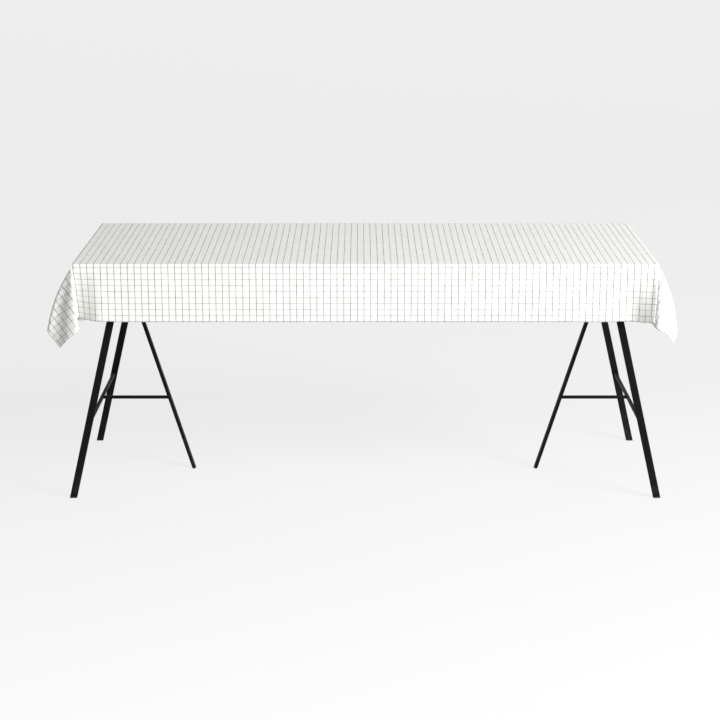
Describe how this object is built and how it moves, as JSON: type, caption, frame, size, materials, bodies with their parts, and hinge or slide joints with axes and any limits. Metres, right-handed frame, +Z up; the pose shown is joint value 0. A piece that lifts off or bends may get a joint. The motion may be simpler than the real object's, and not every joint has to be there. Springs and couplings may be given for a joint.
{
  "type": "tablecloth on a trestle table",
  "caption": "Checked tablecloth draped over a long narrow board that lies on two three-legged steel trestles, with folded-out corners.",
  "frame": {"origin": "on the floor, under the middle of the table", "axes": "+X along the table, -Y is the front that the sitter faces, +Z up"},
  "size_m": [1.917, 0.747, 0.7501],
  "materials": {
    "checked_cotton": "plain woven cotton, white with a thin dark grey check",
    "white_laminate": "satin melamine laminate",
    "particle_board": "raw pressed particle board",
    "powder_coated_steel": "matt black powder coat on steel tube",
    "black_plastic": "moulded, fine matt grain",
    "black_rubber": "matt rubber",
    "black_oxide_steel": "black oxide on machined steel"
  },
  "bodies": {
    "tabletop": {"tabletop_core": "particle_board", "tabletop_upper_skin": "white_laminate", "tabletop_lower_skin": "white_laminate", "edge_band_front": "white_laminate", "edge_band_rear": "white_laminate", "edge_band_left": "white_laminate", "edge_band_right": "white_laminate"},
    "left_trestle": {"left_head_rail": "powder_coated_steel", "left_rail_cap_front": "black_plastic", "left_rail_cap_rear": "black_plastic", "left_grip_pad_front": "black_rubber", "left_grip_pad_rear": "black_rubber", "left_outer_leg_front": "powder_coated_steel", "left_outer_foot_front": "black_plastic", "left_leg_plate_outer_front": "powder_coated_steel", "left_plate_bolt_outer_front": "black_oxide_steel", "left_outer_leg_rear": "powder_coated_steel", "left_outer_foot_rear": "black_plastic", "left_leg_plate_outer_rear": "powder_coated_steel", "left_plate_bolt_outer_rear": "black_oxide_steel", "left_inner_leg": "powder_coated_steel", "left_inner_foot": "black_plastic", "left_leg_plate_inner": "powder_coated_steel", "left_plate_bolt_inner": "black_oxide_steel", "left_cross_bar": "powder_coated_steel", "left_tie_bar": "powder_coated_steel", "left_leg_screw_front": "black_oxide_steel", "left_leg_screw_rear": "black_oxide_steel", "left_tie_screw": "black_oxide_steel"},
    "right_trestle": {"right_head_rail": "powder_coated_steel", "right_rail_cap_front": "black_plastic", "right_rail_cap_rear": "black_plastic", "right_grip_pad_front": "black_rubber", "right_grip_pad_rear": "black_rubber", "right_outer_leg_front": "powder_coated_steel", "right_outer_foot_front": "black_plastic", "right_leg_plate_outer_front": "powder_coated_steel", "right_plate_bolt_outer_front": "black_oxide_steel", "right_outer_leg_rear": "powder_coated_steel", "right_outer_foot_rear": "black_plastic", "right_leg_plate_outer_rear": "powder_coated_steel", "right_plate_bolt_outer_rear": "black_oxide_steel", "right_inner_leg": "powder_coated_steel", "right_inner_foot": "black_plastic", "right_leg_plate_inner": "powder_coated_steel", "right_plate_bolt_inner": "black_oxide_steel", "right_cross_bar": "powder_coated_steel", "right_tie_bar": "powder_coated_steel", "right_leg_screw_front": "black_oxide_steel", "right_leg_screw_rear": "black_oxide_steel", "right_tie_screw": "black_oxide_steel"},
    "tablecloth": {"tablecloth": "checked_cotton"}
  },
  "joints": [
    {"name": "left_trestle_slide", "type": "slide", "parent": "tabletop", "child": "left_trestle", "axis": [-1, 0, 0], "range_m": [-0.3, 0.08]},
    {"name": "right_trestle_slide", "type": "slide", "parent": "tabletop", "child": "right_trestle", "axis": [1, 0, 0], "range_m": [-0.3, 0.08]},
    {"name": "cloth_lift", "type": "slide", "parent": "tabletop", "child": "tablecloth", "axis": [0, 0, 1], "range_m": [0, 0.3]}
  ]
}
